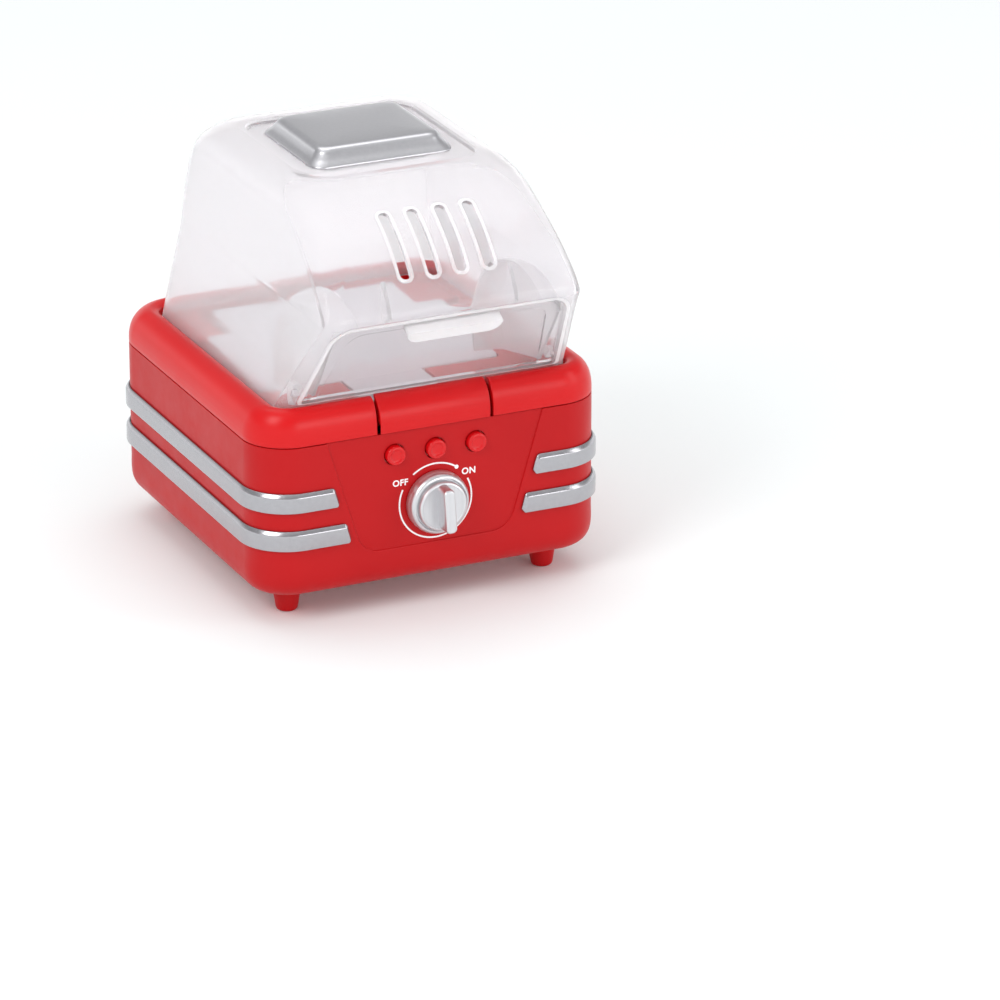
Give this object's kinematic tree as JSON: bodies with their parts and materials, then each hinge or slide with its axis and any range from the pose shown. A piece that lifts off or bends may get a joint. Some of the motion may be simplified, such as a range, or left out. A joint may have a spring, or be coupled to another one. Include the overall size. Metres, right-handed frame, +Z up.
{
  "type": "toy popcorn maker",
  "caption": "Play-kitchen popcorn maker: red rounded base with silver bands, frosted lift-off dome with hinged chute door, see-saw popping lever, knob and push buttons.",
  "frame": {"origin": "on the floor, at the middle of the whole outline seen from above", "axes": "+Z up, -Y towards the front with the knob and lever, +X to the right seen from the front"},
  "size_m": [0.169, 0.1922, 0.1969],
  "materials": {
    "red_plastic": "semi-gloss moulded red",
    "silver": "satin silver paint on plastic",
    "frosted_plastic": "frosted translucent polypropylene",
    "pale_plastic": "pale grey matt",
    "dark_plastic": "black matt",
    "steel": "plain steel"
  },
  "bodies": {
    "base": {"base_shell": "red_plastic", "bottom_cover": "red_plastic", "foot_front_left": "red_plastic", "foot_front_right": "red_plastic", "foot_back_left": "red_plastic", "foot_back_right": "red_plastic", "body_screw_front_left": "steel", "body_screw_front_right": "steel", "body_screw_back_left": "steel", "body_screw_back_right": "steel", "upper_band": "silver", "lower_band": "silver", "top_frame": "red_plastic", "lever_pin": "steel", "lever_spring": "steel", "detent_leaf_spring": "steel", "button_spring_left": "steel", "button_spring_middle": "steel", "button_spring_right": "steel", "button_bracket": "dark_plastic", "bracket_screw_left": "steel", "bracket_screw_right": "steel"},
    "lever": {"lever_tab": "red_plastic", "pop_plate": "pale_plastic", "lever_screw_left": "steel", "lever_screw_right": "steel"},
    "knob": {"knob": "silver", "knob_detent_wheel": "dark_plastic", "knob_screw": "steel"},
    "button_left": {"button_left": "red_plastic"},
    "button_middle": {"button_middle": "red_plastic"},
    "button_right": {"button_right": "red_plastic"},
    "dome": {"dome": "frosted_plastic"},
    "chute_door": {"chute_door": "frosted_plastic"},
    "cap": {"cap": "silver"}
  },
  "joints": [
    {"name": "lever_press", "type": "hinge", "parent": "base", "child": "lever", "pos_m": [0, -0.03533, 0.081], "axis": [1, 0, 0], "range_deg": [0, 5.3], "stiffness_Nm_per_rad": 0.1, "springref_deg": -6.88, "deforming": ["lever_spring"]},
    {"name": "knob_turn", "type": "hinge", "parent": "base", "child": "knob", "pos_m": [0, -0.07343, 0.0487], "axis": [0, -1, 0], "range_deg": [-58, 50]},
    {"name": "button_left_press", "type": "slide", "parent": "base", "child": "button_left", "axis": [0, 1, 0], "range_m": [0, 0.0015], "stiffness_N_per_m": 150, "springref_m": -0.002, "deforming": ["button_spring_left"]},
    {"name": "button_middle_press", "type": "slide", "parent": "base", "child": "button_middle", "axis": [0, 1, 0], "range_m": [0, 0.0015], "stiffness_N_per_m": 150, "springref_m": -0.002, "deforming": ["button_spring_middle"]},
    {"name": "button_right_press", "type": "slide", "parent": "base", "child": "button_right", "axis": [0, 1, 0], "range_m": [0, 0.0015], "stiffness_N_per_m": 150, "springref_m": -0.002, "deforming": ["button_spring_right"]},
    {"name": "dome_lift", "type": "slide", "parent": "base", "child": "dome", "axis": [0, 0, 1], "range_m": [0, 0.1]},
    {"name": "chute_door_open", "type": "hinge", "parent": "dome", "child": "chute_door", "pos_m": [0, -0.06573, 0.1064], "axis": [1, 0, 0], "range_deg": [0, 48]},
    {"name": "cap_lift", "type": "slide", "parent": "dome", "child": "cap", "axis": [0, 0, 1], "range_m": [0, 0.03]}
  ]
}
